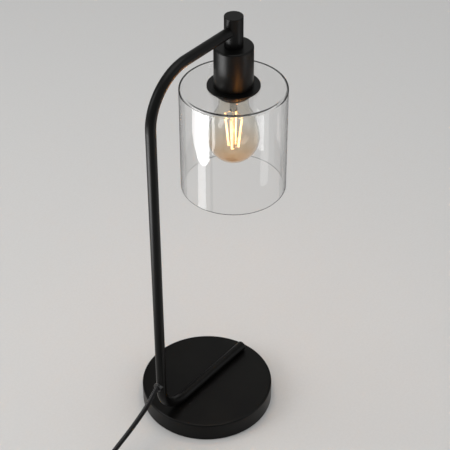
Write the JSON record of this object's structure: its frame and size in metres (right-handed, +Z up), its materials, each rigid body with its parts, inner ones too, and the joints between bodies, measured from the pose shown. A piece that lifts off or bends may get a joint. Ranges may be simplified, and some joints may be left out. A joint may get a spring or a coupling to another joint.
{
  "type": "table lamp",
  "caption": "Table lamp with a bent-tube frame on a round weighted base, a clear glass cylinder shade hung from the arm, a filament bulb and a cord with an in-line rocker switch.",
  "frame": {"origin": "centre of the round base, on the surface it stands on", "axes": "+Z up, +X from the stem to the lampholder, the frame's tube lies in the plane Y = 0"},
  "size_m": [0.305, 0.2509, 0.4812],
  "materials": {
    "black_paint": "satin black powder coat",
    "cast_iron": "rough casting, dark wash",
    "pad_black": "matt foam pad",
    "zinc_steel": "zinc plated",
    "brass": "turned brass",
    "copper_alloy": "stamped spring brass",
    "bush_black": "black moulded nylon, glossy",
    "black_plastic": "moulded, fine matt",
    "ceramic_white": "unglazed",
    "gasket": "soft, translucent grey",
    "clear_glass": "clear, polished",
    "bulb_glass": "clear, thin",
    "bulb_cap_metal": "nickel plated",
    "bulb_black_glass": "black fused glass",
    "solder": "soldered",
    "circuit_board": "solder resist",
    "filament": "yellow phosphor, lit",
    "wire_metal": "plain wire",
    "core_brown": "PVC insulation",
    "core_blue": "PVC insulation",
    "cord_black": "glossy PVC sheath",
    "switch_black": "moulded, satin",
    "strap_black": "woven hook strap"
  },
  "bodies": {
    "lamp": {"base_cover": "black_paint", "base_pad": "pad_black", "base_screws": "zinc_steel", "base_washers": "zinc_steel", "base_weight": "cast_iron", "centre_contact": "copper_alloy", "coil_tie": "strap_black", "cord_bush": "bush_black", "cord_coil": "cord_black", "cord_lead": "cord_black", "cord_mid": "cord_black", "cord_tail": "cord_black", "frame_tube": "black_paint", "glass_shade": "clear_glass", "head_post": "black_paint", "holder_cap": "black_plastic", "holder_core": "ceramic_white", "holder_cup": "black_paint", "holder_sleeve": "black_plastic", "holder_terminals": "brass", "hollow_nipple": "zinc_steel", "leg_end_plug": "black_plastic", "leg_nuts": "zinc_steel", "live_core": "core_brown", "lower_shade_ring": "black_plastic", "neutral_core": "core_blue", "nipple_nut": "zinc_steel", "nipple_washer": "zinc_steel", "pin_sleeves": "black_plastic", "plug_body": "switch_black", "plug_pins": "brass", "plug_relief": "cord_black", "screw_shell": "brass", "shade_gasket": "gasket", "side_contact": "copper_alloy", "switch_base": "switch_black", "switch_cords": "cord_black", "switch_cover": "switch_black", "switch_leaf": "copper_alloy", "switch_reliefs": "cord_black", "switch_screws": "zinc_steel", "switch_terminals": "brass", "terminal_screws": "zinc_steel", "upper_shade_ring": "black_paint"},
    "rocker": {"switch_rocker": "switch_black"},
    "bulb": {"bulb_cap": "bulb_cap_metal", "bulb_contact": "solder", "bulb_driver": "circuit_board", "bulb_envelope": "bulb_glass", "bulb_filaments": "filament", "bulb_insulator": "bulb_black_glass", "bulb_stem": "bulb_glass", "bulb_wires": "wire_metal"}
  },
  "joints": [
    {"name": "switch_rock", "type": "hinge", "parent": "lamp", "child": "rocker", "pos_m": [-0.186, -0.0815, 0.012], "axis": [1, 0, 0], "range_deg": [-16, 0]},
    {"name": "bulb_removal", "type": "slide", "parent": "lamp", "child": "bulb", "axis": [0, 0, -1], "range_m": [0, 0.15]}
  ]
}
